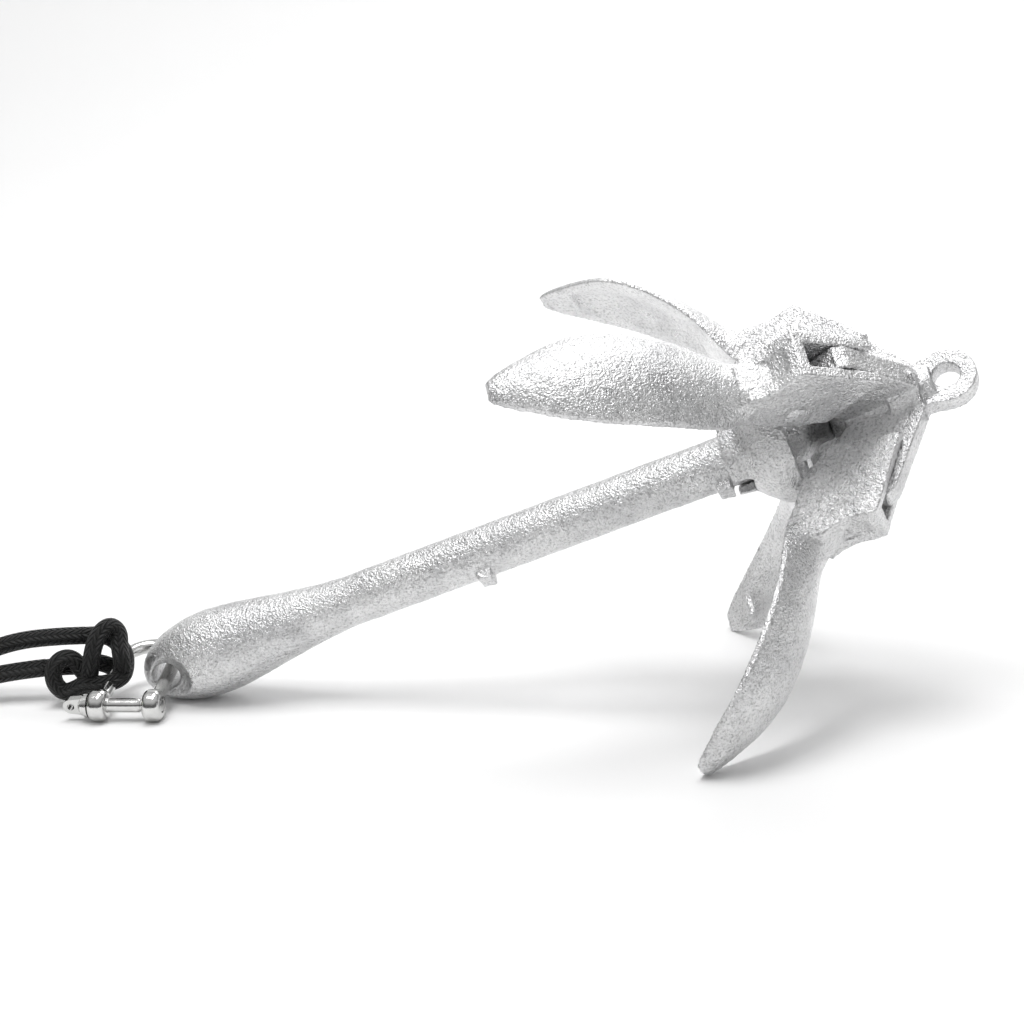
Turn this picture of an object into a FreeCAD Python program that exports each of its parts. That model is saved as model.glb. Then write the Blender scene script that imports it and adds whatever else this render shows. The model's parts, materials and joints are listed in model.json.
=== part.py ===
"""Folding grapnel anchor with its shackle, rope, float and carabiner.

The anchor is drawn about its own axis: Z runs up the shank from the plane of the
fluke pins towards the rope eye, and X is the direction of the front upper fluke.
One placement then lays the whole anchor down on two fluke tips and the rope end,
with +Z up and the crown towards +X.  Millimetres throughout.
"""
import FreeCAD, Part
import math
import os
from FreeCAD import Placement, Rotation, Vector

os.makedirs("parts", exist_ok=True)
doc = FreeCAD.newDocument("grapnel_anchor")
sheet = doc.addObject("Spreadsheet::Sheet", "dims")
X_AXIS = Vector(1, 0, 0)
Y_AXIS = Vector(0, 1, 0)
Z_AXIS = Vector(0, 0, 1)

# ---------------------------------------------------------------- driving dimensions
DIMENSIONS = {
    # attitude in which the anchor lies
    "lie_tilt": 20.212,
    "lie_roll": -0.347,
    "pin_plane_x": 101.1,
    "pin_plane_y": -1.75,
    "pin_plane_z": 94.42,
    # crown
    "pin_circle": 23.5,
    "crown_low": -58.8,
    "hub_top": -8.0,
    "lug_thickness": 8.6,
    "lug_boss": 5.0,
    "crown_eye_outer": 10.0,
    "crown_eye_bore": 4.5,
    "crown_eye_thickness": 6.6,
    # shank
    "shank_radius": 9.0,
    "shank_top": 251.2,
    "spigot_radius": 4.0,
    "spigot_length": 16.0,
    "neck_radius": 5.4,
    "lug_reach": 12.6,
    "lug_width": 6.6,
    "rope_eye_height": 241.0,
    "rope_eye_bore": 4.8,
    "rope_eye_azimuth": -50.0,
    "rope_eye_web": 13.0,
    # collar
    "collar_mouth": 5.6,
    "collar_length": 22.6,
    "collar_radius": 21.6,
    "collar_wall": 3.0,
    "collar_clearance": 0.4,
    # flukes
    "heel_width": 18.0,
    "slot_width": 9.6,
    "fluke_pin_radius": 2.5,
    "pin_play": 0.06,
    "pin_head_radius": 4.4,
    "pin_head_height": 0.9,
    "open_front_upper": 37.0,
    "open_rear_upper": 43.0,
    "open_rear_lower": 56.4,
    "open_front_lower": 52.2,
    # shackle
    "shackle_wire": 2.5,
    "shackle_leg_gap": 19.7,
    "shackle_length": 40.0,
    "shackle_ear_radius": 5.7,
    "shackle_ear_width": 6.6,
    "shackle_pin_to_eye": 25.0,
    "shackle_pin_radius": 2.5,
    "knot_on_leg": 20.0,
    # rope and what hangs on it
    "rope_radius": 3.2,
    "coil_middle": 38.4,
    "coil_rows": 5,
    "coil_layers": 6,
    "float_length": 123.0,
    "float_radius": 40.5,
    "float_bore": 8.0,
    "carabiner_length": 63.0,
    "carabiner_width": 31.0,
    "carabiner_wire": 2.6,
    "sleeve_radius": 4.3,
    "sleeve_length": 12.0,
}
for line, (alias, number) in enumerate(DIMENSIONS.items(), start=1):
    sheet.set("A%d" % line, alias)
    sheet.set("B%d" % line, str(number))
    sheet.setAlias("B%d" % line, alias)
doc.recompute()


def size(alias):
    """A driving dimension, read back from the sheet."""
    return float(getattr(sheet, alias))


# The attitude the anchor lies in, and where its pin plane then stands above the floor.
LYING = Rotation(Y_AXIS, -90.0 - size("lie_tilt")) * Rotation(Z_AXIS, size("lie_roll") - 45.0)
LAID = Placement(Vector(size("pin_plane_x"), size("pin_plane_y"), size("pin_plane_z")), LYING)
parts = []


def keep(shape_object, label, place):
    """Label a finished sub-part and note its place above the floor."""
    shape_object.Label = label
    parts.append((shape_object, label, place))
    return shape_object


# ---------------------------------------------------------------- small helpers
def new_body(name):
    return doc.addObject("PartDesign::Body", name)


def plane_of(body, role):
    """The body's own origin plane or axis of that role."""
    return next(item for item in body.Origin.OriginFeatures if item.Role == role)


def new_sketch(body, name, role="XZ_Plane", offset=None):
    sketch = body.newObject("Sketcher::SketchObject", name)
    sketch.AttachmentSupport = [(plane_of(body, role), "")]
    sketch.MapMode = "FlatFace"
    if offset:
        sketch.AttachmentOffset = offset
    return sketch


def outline(sketch, points):
    """A closed outline of straight edges."""
    corners = [Vector(x, y, 0) for x, y in points]
    for start, end in zip(corners, corners[1:] + corners[:1]):
        sketch.addGeometry(Part.LineSegment(start, end), False)


def circle(sketch, x, y, radius):
    sketch.addGeometry(Part.Circle(Vector(x, y, 0), Z_AXIS, radius), False)


def spline_profile(sketch, curve_points, corner_points):
    """A closed half profile: a smooth curve, closed through straight corners."""
    curve = Part.BSplineCurve()
    curve.interpolate([Vector(x, y, 0) for x, y in curve_points])
    sketch.addGeometry(curve, False)
    corners = [curve_points[-1]] + corner_points + [curve_points[0]]
    for start, end in zip(corners, corners[1:]):
        sketch.addGeometry(Part.LineSegment(Vector(*start, 0), Vector(*end, 0)), False)


def through(body, sketch, name, length, kind="PartDesign::Pad"):
    """A pad or pocket that runs the same way to both sides of its sketch."""
    feature = body.newObject(kind, name)
    feature.Profile = sketch
    feature.Midplane = True
    feature.setExpression("Length", length)
    return feature


def pad(body, sketch, name, length):
    return through(body, sketch, name, length)


def pocket(body, sketch, name, length):
    return through(body, sketch, name, length, "PartDesign::Pocket")


def revolve(body, sketch, name):
    feature = body.newObject("PartDesign::Revolution", name)
    feature.Profile = sketch
    feature.ReferenceAxis = (sketch, ["V_Axis"])
    feature.Angle = 360.0
    return feature


def around(body, features, name, count):
    feature = body.newObject("PartDesign::PolarPattern", name)
    feature.Originals = features
    feature.Axis = (plane_of(body, "Z_Axis"), [""])
    feature.Angle = 360.0
    feature.Occurrences = count
    body.Tip = feature
    return feature


def shifted(x=0.0, y=0.0, z=0.0):
    return Placement(Vector(x, y, z), Rotation())


# ---------------------------------------------------------------- crown
def make_crown():
    """Hub with four pin lugs, a square shoulder and a flat towing eye below."""
    body = new_body("crown")
    hub = new_sketch(body, "hub_profile")
    neck = size("neck_radius")
    outline(hub, [(0, -44), (6.5, -44), (7.2, -37), (7.2, -28), (neck + 0.4, -11),
                  (neck, size("hub_top")), (0, size("hub_top"))])
    revolve(body, hub, "hub")
    shoulder = new_sketch(body, "shoulder_section", "XY_Plane", shifted(z=-33.5))
    half = 12.6
    outline(shoulder, [(half, 0), (0, half), (-half, 0), (0, -half)])
    block = pad(body, shoulder, "shoulder", "10.5 mm")
    doc.recompute()
    lug = new_sketch(body, "lug_profile")
    reach = size("pin_circle")
    boss = size("lug_boss")
    outline(lug, [(0, -42), (9.5, -39), (34.0, -21.5), (35.6, -18.0),
                  (reach + boss, -1.0), (reach + 0.6 * boss, 0.8 * boss), (reach, boss),
                  (reach - 0.8 * boss, 0.6 * boss), (6.0, -13.0), (0, -13.0)])
    lug_pad = pad(body, lug, "lug", "dims.lug_thickness")
    around(body, [lug_pad], "lugs", 4)
    doc.recompute()
    eye = new_sketch(body, "eye_profile", "YZ_Plane")
    outer = size("crown_eye_outer")
    middle = size("crown_low") + outer
    lean = 0.30
    eye.addGeometry(Part.Arc(Vector(-outer * math.cos(lean), middle + outer * math.sin(lean), 0),
                             Vector(0, middle - outer, 0),
                             Vector(outer * math.cos(lean), middle + outer * math.sin(lean), 0)), False)
    side = Vector(outer * math.cos(lean), middle + outer * math.sin(lean), 0)
    for start, end in ((side, Vector(8.0, -36.0, 0)), (Vector(8.0, -36.0, 0), Vector(-8.0, -36.0, 0)),
                       (Vector(-8.0, -36.0, 0), Vector(-side.x, side.y, 0))):
        eye.addGeometry(Part.LineSegment(start, end), False)
    pad(body, eye, "eye", "dims.crown_eye_thickness")
    doc.recompute()
    eye_hole = new_sketch(body, "eye_hole", "YZ_Plane")
    circle(eye_hole, 0, middle, size("crown_eye_bore"))
    pocket(body, eye_hole, "eye_bore", "30 mm")
    doc.recompute()
    socket = new_sketch(body, "socket_section", "XY_Plane",
                        shifted(z=size("hub_top") - size("spigot_length") / 2.0 + 1.0))
    circle(socket, 0, 0, size("spigot_radius"))
    pocket(body, socket, "socket", "dims.spigot_length + 2")
    doc.recompute()
    pins = new_sketch(body, "pin_hole")
    circle(pins, reach, 0, size("fluke_pin_radius") + size("pin_play"))
    pin_bore = pocket(body, pins, "pin_bore", "14 mm")
    around(body, [pin_bore], "pin_bores", 4)
    return body


# ---------------------------------------------------------------- shank
def make_shank():
    """Round bar with a reduced lower neck and spigot, two lock lugs and a swollen eye end."""
    body = new_body("shank")
    profile = new_sketch(body, "shank_profile")
    radius = size("shank_radius")
    top = size("shank_top")
    swelling = [(radius, 160.0), (radius + 0.1, 172.0), (10.4, 185.0), (12.4, 198.5), (14.6, 213.0),
                (15.4, 222.5), (14.6, 232.0), (11.8, 241.0), (7.2, 248.0), (0.0, top)]
    spigot = size("spigot_radius")
    neck = size("neck_radius")
    shoulder = size("hub_top")
    spline_profile(profile, swelling, [
        (0, shoulder - size("spigot_length")), (spigot, shoulder - size("spigot_length")),
        (spigot, shoulder), (neck, shoulder), (neck + 0.2, -3.0), (radius - 0.3, 2.0), (radius, 4.0)])
    revolve(body, profile, "bar")
    doc.recompute()
    for name, low in (("near", 29.0), ("far", 116.5)):
        lug = new_sketch(body, name + "_lug_profile")
        outline(lug, [(5, low), (size("lug_reach"), low), (size("lug_reach") - 0.6, low + 5.2),
                      (5, low + 6.4)])
        pad(body, lug, name + "_lug", "dims.lug_width")
        doc.recompute()
    turn = size("rope_eye_azimuth") + 90.0
    height = size("rope_eye_height")
    bore_way = Placement(Vector(0, 0, 0), Rotation(Z_AXIS, turn))
    eye = new_sketch(body, "rope_eye_section", "YZ_Plane")
    eye.AttachmentOffset = Placement(Vector(0, 0, 0), Rotation(Y_AXIS, turn))
    circle(eye, 0, height, size("rope_eye_bore"))
    pocket(body, eye, "rope_eye", "60 mm")
    doc.recompute()
    ball = 11.0
    away = size("rope_eye_web") / 2.0 + ball
    for name, side in (("front", 1), ("rear", -1)):
        # a shallow round dish on each face of the eye
        dish = new_sketch(body, name + "_dish_profile", "YZ_Plane")
        dish.AttachmentOffset = Placement(
            Vector(side * away * math.sin(math.radians(turn)), 0, side * away * math.cos(math.radians(turn))),
            Rotation(Y_AXIS, turn))
        low = Vector(0, height - ball, 0)
        high = Vector(0, height + ball, 0)
        dish.addGeometry(Part.Arc(low, Vector(ball, height, 0), high), False)
        dish.addGeometry(Part.LineSegment(high, low), False)
        groove = body.newObject("PartDesign::Groove", name + "_dish")
        groove.Profile = dish
        groove.ReferenceAxis = (dish, ["V_Axis"])
        groove.Angle = 360.0
        doc.recompute()
    return body


# ---------------------------------------------------------------- collar
def make_collar():
    """Bell that slides on the shank: a flared mouth, a narrow notched tail and a key slot."""
    body = new_body("collar")
    low = size("collar_mouth")
    tail = low + size("collar_length")
    rim = size("collar_radius")
    wall = size("collar_wall")
    bore = size("shank_radius") + size("collar_clearance")
    neck = bore + wall
    profile = new_sketch(body, "bell_profile")
    outside = [(rim, low), (rim + 0.2, low + 4.0), (rim - 1.6, low + 8.5), (rim - 5.2, low + 13.0),
               (neck + 0.5, low + 16.8), (neck, tail)]
    inside = [(bore, tail), (bore, low + 15.5), (bore + 2.4, low + 12.4), (rim - wall - 2.2, low + 7.5),
              (rim - wall, low + 3.0), (rim - wall + 0.3, low)]
    outline(profile, outside + inside)
    revolve(body, profile, "bell")
    doc.recompute()
    notch = new_sketch(body, "notch_profile")
    outline(notch, [(bore + 1.4, tail - 3.0), (neck + 2, tail - 3.0), (neck + 2, tail + 2),
                    (bore + 1.4, tail + 2)])
    cut = pocket(body, notch, "notch", "4 mm")
    around(body, [cut], "notches", 6)
    doc.recompute()
    key = new_sketch(body, "key_slot_profile")
    reach = size("lug_reach") + 0.5
    outline(key, [(0, low - 1), (reach, low - 1), (reach, tail + 2), (0, tail + 2)])
    pocket(body, key, "key_slot", "dims.lug_width + 1")
    return body


# ---------------------------------------------------------------- flukes
# Along the fluke (from its pin), half width, height of the face's rim, height of the back.
PALM_SECTIONS = [
    (16.5, 8.9, -4.4, 11.2), (22.0, 11.4, -2.9, 9.4), (28.5, 14.4, -0.4, 9.2), (37.0, 16.4, 2.5, 10.8),
    (50.0, 17.7, 5.1, 13.2), (64.0, 17.8, 6.2, 13.9), (78.0, 15.6, 5.1, 12.2), (90.0, 11.0, 2.0, 8.2),
    (98.5, 6.8, -0.6, 4.2), (103.4, 3.4, -2.1, 1.0)]
RIM_EDGE = 1.9
RIM_WIDTH = 2.8


def palm_section(sketch, half, rim, back, edge):
    """A D-shaped section: flat face, two short edges and an arched back."""
    low_left, low_right = Vector(-half, rim, 0), Vector(half, rim, 0)
    high_left, high_right = Vector(-half, rim + edge, 0), Vector(half, rim + edge, 0)
    sketch.addGeometry(Part.LineSegment(low_left, low_right), False)
    sketch.addGeometry(Part.LineSegment(low_right, high_right), False)
    sketch.addGeometry(Part.Arc(high_right, Vector(0, back, 0), high_left), False)
    sketch.addGeometry(Part.LineSegment(high_left, low_left), False)


def make_fluke(name):
    """Forked heel and a spoon-shaped palm; X runs from the pin to the tip, Z to the back."""
    body = new_body(name)
    heel = new_sketch(body, "heel_profile")
    boss = 5.2
    outline(heel, [(-22.5, 19.5), (7.0, 22.5), (9.2, 19.6), (12.0, 14.8), (16.0, 10.6), (20.0, 8.2),
                   (20.0, -3.4), (17.5, -4.2), (0.0, -boss), (-0.7 * boss, -0.75 * boss), (-12.0, -2.0)])
    pad(body, heel, "heel", "dims.heel_width")
    doc.recompute()
    sections = []
    for station, half, rim, back in PALM_SECTIONS:
        section = new_sketch(body, "palm_section", "YZ_Plane", shifted(z=station))
        palm_section(section, half, rim, back, min(RIM_EDGE, 0.45 * (back - rim)))
        sections.append(section)
    palm = body.newObject("PartDesign::AdditiveLoft", "palm")
    palm.Profile = sections[0]
    palm.Sections = sections[1:]
    doc.recompute()
    hollows = []
    for station, half, rim, back in PALM_SECTIONS[3:8]:
        section = new_sketch(body, "hollow_section", "YZ_Plane", shifted(z=station))
        inner = half - RIM_WIDTH
        left, right = Vector(-inner, rim - 1.0, 0), Vector(inner, rim - 1.0, 0)
        section.addGeometry(Part.LineSegment(left, right), False)
        section.addGeometry(Part.Arc(right, Vector(0, rim + 0.25 * (back - rim), 0), left), False)
        hollows.append(section)
    hollow = body.newObject("PartDesign::SubtractiveLoft", "hollow")
    hollow.Profile = hollows[0]
    hollow.Sections = hollows[1:]
    doc.recompute()
    slot = new_sketch(body, "slot_profile")
    outline(slot, [(-40, 40), (-2.6, 40), (3.3, 22.2), (13.6, -6.0), (13.6, -20), (-40, -20)])
    pocket(body, slot, "slot", "dims.slot_width")
    recess = new_sketch(body, "recess_profile")
    outline(recess, [(8.2, 30.0), (9.4, 17.4), (12.6, 11.8), (23.0, 7.8), (23.0, 12.0), (18.0, 30.0)])
    pocket(body, recess, "recess", "dims.slot_width - 1")
    hole = new_sketch(body, "pin_hole")
    circle(hole, 0, 0, size("fluke_pin_radius"))
    pocket(body, hole, "pin_bore", "40 mm")
    return body


def make_fluke_pin(name):
    """Rivet with a low domed head at each end, along its own Z."""
    body = new_body(name)
    profile = new_sketch(body, "rivet_profile")
    shaft = size("fluke_pin_radius")
    head = size("pin_head_radius")
    tall = size("pin_head_height")
    half = size("heel_width") / 2.0
    end = half + tall
    outline(profile, [(0, -end), (0.45 * head, -end + 0.15), (0.85 * head, -end + 0.5), (head, -half),
                      (shaft, -half), (shaft, half), (head, half), (0.85 * head, end - 0.5),
                      (0.45 * head, end - 0.15), (0, end)])
    revolve(body, profile, "rivet")
    return body


FLUKES = {
    "front_upper": 0.0,
    "rear_upper": 90.0,
    "rear_lower": 180.0,
    "front_lower": 270.0,
}


def fluke_place(position, opening):
    """The pin's place on the crown, with the fluke turned out to its opening angle."""
    out = math.radians(opening)
    along = Vector(math.sin(out), 0, math.cos(out))
    back = Vector(math.cos(out), 0, -math.sin(out))
    turned = Rotation(along, back.cross(along), back, "XYZ")
    return (Placement(Vector(0, 0, 0), Rotation(Z_AXIS, position))
            * Placement(Vector(size("pin_circle"), 0, 0), turned))


keyed = Placement(Vector(0, 0, 0), Rotation(Z_AXIS, FLUKES["front_lower"]))
keep(make_crown(), "crown", LAID)
keep(make_shank(), "shank", LAID * keyed)
keep(make_collar(), "collar", LAID * keyed)
for fluke_name, fluke_position in FLUKES.items():
    there = LAID * fluke_place(fluke_position, size("open_" + fluke_name))
    keep(make_fluke("fluke_" + fluke_name), "fluke_" + fluke_name, there)
    across = Placement(Vector(0, 0, 0), Rotation(X_AXIS, 90.0))
    keep(make_fluke_pin("pin_" + fluke_name), "fluke_pin_" + fluke_name, there * across)


# ---------------------------------------------------------------- shackle
# Its own axes: X along the pin towards the shank's eye, Y along the legs to the bow.
def primitive(kind, name, place, **expressions):
    """A Part primitive with its sizes bound to the sheet."""
    item = doc.addObject("Part::" + kind, name)
    for prop, expression in expressions.items():
        item.setExpression(prop, expression)
    item.Placement = place
    return item


def fused(name, items):
    joined = doc.addObject("Part::MultiFuse", name)
    joined.Shapes = items
    return joined


def cut(name, base, tool):
    result = doc.addObject("Part::Cut", name)
    result.Base = base
    result.Tool = tool
    return result


TO_X = Rotation(Y_AXIS, 90.0)
TO_Y = Rotation(X_AXIS, -90.0)
SPREAD = size("shackle_leg_gap") / 2.0
LEG = size("shackle_length") - SPREAD
EAR_HALF = size("shackle_ear_width") / 2.0


def make_shackle_bow():
    """Long D shackle: two round ears, straight legs and a half-round bow."""
    pieces = []
    for side in (-1, 1):
        ear = primitive("Cylinder", "ear", Placement(Vector(side * SPREAD - EAR_HALF, 0, 0), TO_X),
                        Radius="dims.shackle_ear_radius", Height="dims.shackle_ear_width")
        doc.recompute()
        soft = doc.addObject("Part::Fillet", "soft_ear")
        soft.Base = ear
        soft.Edges = [(n, 2.4, 2.4) for n, edge in enumerate(ear.Shape.Edges, 1) if edge.Closed]
        leg = primitive("Cylinder", "leg", Placement(Vector(side * SPREAD, 0, 0), TO_Y),
                        Radius="dims.shackle_wire",
                        Height="dims.shackle_length - dims.shackle_leg_gap / 2")
        pieces += [soft, leg]
    bow = primitive("Torus", "bow", Placement(Vector(0, LEG, 0), Rotation()),
                    Radius1="dims.shackle_leg_gap / 2", Radius2="dims.shackle_wire")
    bow.Angle3 = 180.0
    holes = primitive("Cylinder", "ear_holes", Placement(Vector(-2 * SPREAD, 0, 0), TO_X),
                      Radius="dims.shackle_pin_radius + dims.pin_play", Height="4 * dims.shackle_leg_gap")
    return cut("shackle_bow", fused("shackle_wire", pieces + [bow]), holes)


def make_shackle_pin():
    """Screw pin: a shaft through both ears, a double shoulder and a flat eye to turn it by."""
    body = new_body("shackle_pin")
    profile = new_sketch(body, "pin_profile", "XY_Plane")
    shaft = size("shackle_pin_radius")
    left = -SPREAD - EAR_HALF - 0.1
    right = SPREAD + EAR_HALF
    outline(profile, [(right, 0), (right, shaft - 0.5), (right - 0.5, shaft), (SPREAD - EAR_HALF - 0.6, shaft),
                      (SPREAD - EAR_HALF - 1.1, shaft - 0.35), (SPREAD - EAR_HALF - 1.8, shaft),
                      (left, shaft), (left, 4.4), (left - 1.2, 4.4), (left - 1.6, 3.6), (left - 2.4, 3.6),
                      (left - 3.4, 2.4), (left - 3.4, 0)])
    shaft_turned = body.newObject("PartDesign::Revolution", "shaft")
    shaft_turned.Profile = profile
    shaft_turned.ReferenceAxis = (profile, ["H_Axis"])
    shaft_turned.Angle = 360.0
    doc.recompute()
    tab = new_sketch(body, "tab_profile")
    centre = left - 6.4
    tab.addGeometry(Part.Arc(Vector(centre, -2.8, 0), Vector(centre - 2.8, 0, 0), Vector(centre, 2.8, 0)), False)
    for start, end in (((centre, 2.8), (left - 2.6, 3.2)), ((left - 2.6, 3.2), (left - 2.6, -3.2)),
                       ((left - 2.6, -3.2), (centre, -2.8))):
        tab.addGeometry(Part.LineSegment(Vector(*start, 0), Vector(*end, 0)), False)
    pad(body, tab, "tab", "2.6 mm")
    doc.recompute()
    hole = new_sketch(body, "tab_hole")
    circle(hole, centre, 0, 1.3)
    pocket(body, hole, "tab_bore", "10 mm")
    return body


# The right leg passes through the shank's eye; the ears rest on the floor.
EYE = LAID.multVec(Vector(0, 0, size("rope_eye_height")))
PIN_TO_EYE = size("shackle_pin_to_eye")
RISE = math.asin((EYE.z - size("shackle_ear_radius")) / PIN_TO_EYE)
LEG_WAY = Vector(0, math.cos(RISE), math.sin(RISE))
PIN_CENTRE = EYE - LEG_WAY * PIN_TO_EYE - X_AXIS * SPREAD
shackle_place = Placement(PIN_CENTRE, Rotation(X_AXIS, math.degrees(RISE)))
keep(make_shackle_bow(), "shackle_bow", shackle_place)
keep(make_shackle_pin(), "shackle_pin", shackle_place)


# ---------------------------------------------------------------- rope
def keep_shape(shape, label, place=Placement()):
    """A sub-part whose shape comes from Part's own functions."""
    item = doc.addObject("Part::Feature", label)
    item.Shape = shape
    return keep(item, label, place)


def rounded_path(points):
    """Straight runs joined by tangent arcs, each as large as its two runs allow."""
    edges = []
    radii = []
    start = points[0]
    for before, corner, after in zip(points, points[1:], points[2:]):
        way_in = corner - before
        way_out = after - corner
        reach = 0.45 * min(way_in.Length, way_out.Length)
        way_in.normalize()
        way_out.normalize()
        half_turn = way_in.getAngle(way_out) / 2.0
        radius = reach / math.tan(half_turn)
        inward = way_out - way_in
        inward.normalize()
        arc_start = corner - way_in * reach
        arc_middle = corner + inward * radius * (1.0 / math.cos(half_turn) - 1.0)
        arc_end = corner + way_out * reach
        edges.append(Part.LineSegment(start, arc_start).toShape())
        edges.append(Part.Arc(arc_start, arc_middle, arc_end).toShape())
        radii.append(radius)
        start = arc_end
    edges.append(Part.LineSegment(start, points[-1]).toShape())
    return Part.Wire(edges), radii


def make_tube(name, points, radius):
    """A round tube along a route, with its length and arc radii printed."""
    wire, radii = rounded_path(points)
    ring = Part.Wire([Part.Circle(points[0], points[1] - points[0], radius).toShape()])
    shape = wire.makePipeShell([ring], True, False)
    print("%s: length %.1f, smallest radius %.1f" % (name, wire.Length, min(radii)))
    print("   radii", " ".join("%.0f" % number for number in radii))
    print("   volume %.0f, section times length %.0f" % (shape.Volume, math.pi * radius ** 2 * wire.Length))
    return shape


ROPE = size("rope_radius")
# The knot sits on the shackle's left leg; every rope point is counted from there.
KNOT = PIN_CENTRE - X_AXIS * SPREAD + LEG_WAY * size("knot_on_leg")


def from_knot(points):
    """Points beside the knot and along the floor below it, with the height above the floor."""
    return [Vector(KNOT.x + x, KNOT.y + y, z) for x, y, z in points]


LEAD_ROUTE = from_knot([
    (-11.3, 4.0, 23.6), (-29.0, 4.9, 22.8), (-46.0, 6.5, 18.6), (-61.0, 5.5, 11.8), (-75.0, 0.5, 5.8),
    (-87.0, -8.0, 3.4), (-98.5, -15.5, 3.3), (-111.1, -19.1, 3.3)])
TAIL_ROUTE = from_knot([
    (-25.9, 1.0, 12.4), (-43.0, -0.6, 11.0), (-60.5, -5.6, 6.6), (-77.5, -15.0, 3.4), (-93.0, -28.0, 3.3),
    (-107.5, -42.0, 3.3), (-125.0, -51.5, 3.3), (-144.0, -56.0, 3.3)])
END_ROUTE = from_knot([
    (-149.1, -19.1, 35.3), (-165.0, -19.5, 38.4), (-184.0, -19.2, 40.6), (-214.0, -18.8, 41.2),
    (-250.0, -19.4, 41.2), (-286.0, -19.1, 41.0), (-312.0, -19.5, 37.4), (-329.0, -19.0, 28.6),
    (-343.0, -19.5, 18.8), (-356.5, -19.0, 12.4), (-371.1, -19.3, 10.3)])
# Past this plane the rope stays on the floor; before it, it lifts with the shackle.
LIFTS_TO = KNOT.x - 36.0
LIFT_GAP = 0.4


def keep_in_two(tube, label):
    """Keep a tube as the stretch beside the knot and the stretch on the floor."""
    beside_knot = Part.makeBox(60, 80, 80, Vector(LIFTS_TO, KNOT.y - 40, -20))
    keep_shape(tube.common(beside_knot), label + "_start")
    beside_knot.translate(Vector(-LIFT_GAP, 0, 0))
    keep_shape(tube.cut(beside_knot), label)


keep_in_two(make_tube("rope_lead", LEAD_ROUTE, ROPE), "rope_lead")
keep_in_two(make_tube("rope_tail", TAIL_ROUTE, ROPE), "rope_tail")
keep_shape(make_tube("rope_end_run", END_ROUTE, ROPE), "rope_end_run")


def ring(name, centre, axis, radius):
    """One turn of rope in a knot."""
    turned = Rotation(Z_AXIS, axis)
    item = primitive("Torus", name, Placement(centre, turned), Radius2="dims.rope_radius")
    item.Radius1 = radius
    return item


def make_knots():
    """The knot on the shackle, and the knot and loop that hold the carabiner; gives the loop's centre."""
    leg_turn = ring("leg_turn", KNOT, LEG_WAY, 6.2)
    side_turn = ring("side_turn", Vector(KNOT.x - 15.5, KNOT.y + 1.0, 10.3), Vector(0.15, 1, 0.1), 6.6)
    top_turn = ring("top_turn", Vector(KNOT.x - 1.5, KNOT.y + 3.6, 23.6), Vector(-0.1, 1, 0), 6.0)
    keep(fused("rope_knot", [leg_turn, side_turn, top_turn]), "rope_knot", Placement())
    centre = END_ROUTE[-1] - Vector(6.0, 0, 0.1)
    loop_centre = centre + Vector(-15.0, 0, 0.6)
    first = ring("end_knot_turn", centre, Vector(1, 0.25, 0), 5.4)
    second = ring("end_knot_turn", centre - X_AXIS * 5.4, Vector(0.7, -0.4, -0.5), 5.0)
    loop = ring("carabiner_loop", loop_centre, Y_AXIS, 5.9)
    keep(fused("rope_end_knot", [first, second, loop]), "rope_end_knot", Placement())
    return loop_centre


LOOP_CENTRE = make_knots()


# The rope is put away in a round coil that the lead meets on its near side.
COIL_CENTRE = from_knot([(-130.1, 32.1, 0.1)])[0]


def make_coil():
    """Outer shape of the coil: a ring as wide and as high as its rows and layers of turns."""
    place = Placement(COIL_CENTRE, Rotation())
    outer = primitive("Cylinder", "coil_outside", place,
                      Radius="dims.coil_middle + dims.coil_rows * dims.rope_radius",
                      Height="2 * dims.coil_layers * dims.rope_radius")
    inner = primitive("Cylinder", "coil_hole", place,
                      Radius="dims.coil_middle - dims.coil_rows * dims.rope_radius",
                      Height="2 * dims.coil_layers * dims.rope_radius")
    return cut("rope_coil", outer, inner)


keep(make_coil(), "rope_coil", Placement())


def make_float():
    """Blow-moulded ovoid with a rope tube through it and a seam round its middle."""
    body = new_body("float")
    half = size("float_length") / 2.0
    radius = size("float_radius")
    tube = size("float_bore")
    flat = 15.0
    wall = 2.6
    profile = new_sketch(body, "shell_profile")
    steps = 9
    def arc_points(length, width, low):
        turns = [math.radians(90.0 * n / steps) for n in range(steps + 1)]
        quarter = [(low + (width - low) * math.cos(a) ** 0.9, length * math.sin(a) ** 1.1) for a in turns]
        return [(x, -z) for x, z in reversed(quarter)] + quarter[1:]
    spline_profile(profile, arc_points(half, radius, flat), [(tube, half), (tube, -half)])
    inner = Part.BSplineCurve()
    hollow = arc_points(half - wall, radius - wall, flat)
    inner.interpolate([Vector(x, z, 0) for x, z in hollow])
    profile.addGeometry(inner, False)
    corners = [hollow[-1], (tube + wall, half - wall), (tube + wall, wall - half), hollow[0]]
    for start, end in zip(corners, corners[1:]):
        profile.addGeometry(Part.LineSegment(Vector(*start, 0), Vector(*end, 0)), False)
    revolve(body, profile, "shell")
    doc.recompute()
    seam = new_sketch(body, "seam_profile")
    outline(seam, [(radius - 0.8, -1.1), (radius + 0.5, -0.8), (radius + 0.5, 0.8), (radius - 0.8, 1.1)])
    revolve(body, seam, "seam")
    return body


FLOAT_CENTRE = from_knot([(-237.1, -19.1, size("float_radius") + 0.6)])[0]
keep(make_float(), "float", Placement(FLOAT_CENTRE, TO_X))


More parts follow.
